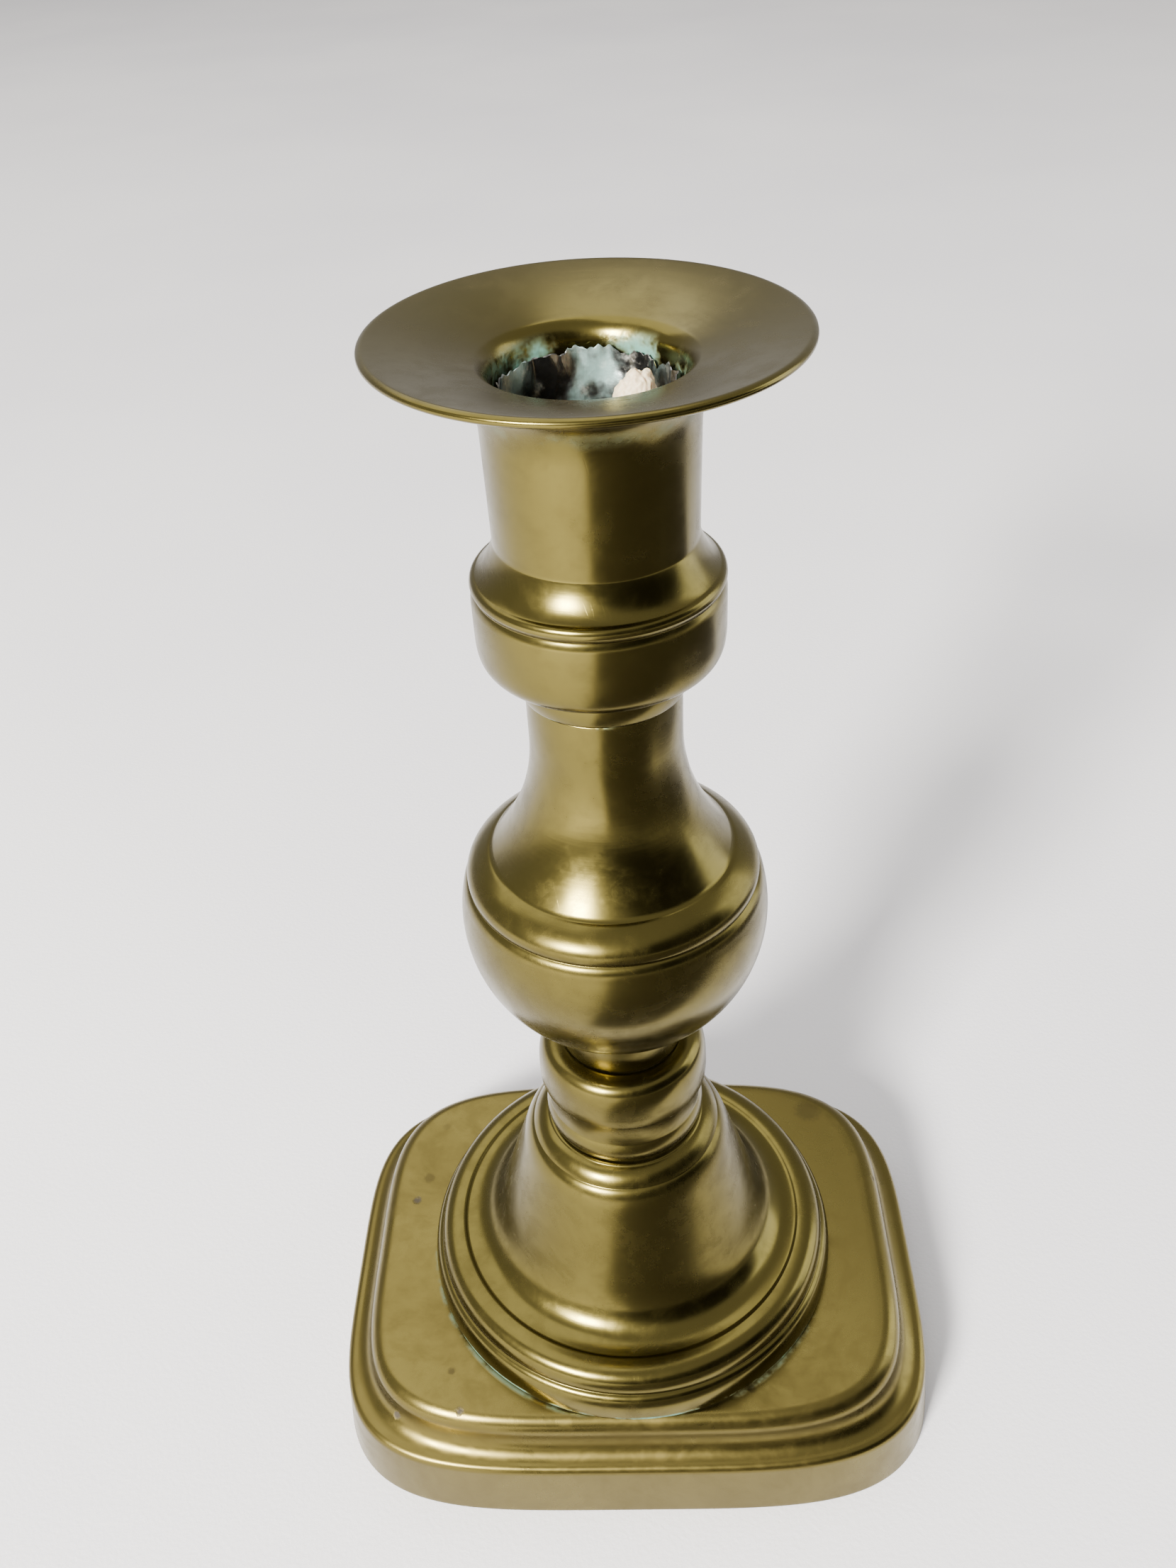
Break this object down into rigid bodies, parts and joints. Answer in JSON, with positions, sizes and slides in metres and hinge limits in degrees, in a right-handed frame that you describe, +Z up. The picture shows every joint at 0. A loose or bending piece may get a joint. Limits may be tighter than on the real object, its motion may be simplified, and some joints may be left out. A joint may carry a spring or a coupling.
{
  "type": "candlestick",
  "caption": "Brass push-up candlestick: oblong moulded foot, bell, knop, ball baluster, candle socket with a wide drip pan.",
  "frame": {"origin": "centre of the plane that the foot stands on", "axes": "+Z up along the stem's axis, +X along the foot's long side, +Y along its short side and away from the viewer"},
  "size_m": [0.1066, 0.0826, 0.1906],
  "materials": {
    "worn_brass": "turned, once polished, now dull olive gold with darker tarnish in the grooves",
    "cast_brass": "cast and filed, worn satin, with small pits and dark spots",
    "plain_brass": "unpolished, dull brown",
    "iron": "plain iron wire, dark, lightly rusted",
    "foil": "crumpled, soiled foil",
    "wax": "old cream wax"
  },
  "bodies": {
    "stick": {"foot_plate": "cast_brass", "bell_foot": "worn_brass", "knop": "worn_brass", "baluster": "worn_brass", "candle_socket": "worn_brass", "tenon_washer": "plain_brass", "tenon_nut": "plain_brass"},
    "ejector": {"push_rod": "iron", "rod_collar": "plain_brass", "candle_seat": "plain_brass", "push_button": "plain_brass", "foil_sleeve": "foil", "wax_pool": "wax", "wax_lump": "wax"}
  },
  "joints": [
    {"name": "ejector_slide", "type": "slide", "parent": "stick", "child": "ejector", "axis": [0, 0, 1], "range_m": [0, 0.028]}
  ]
}
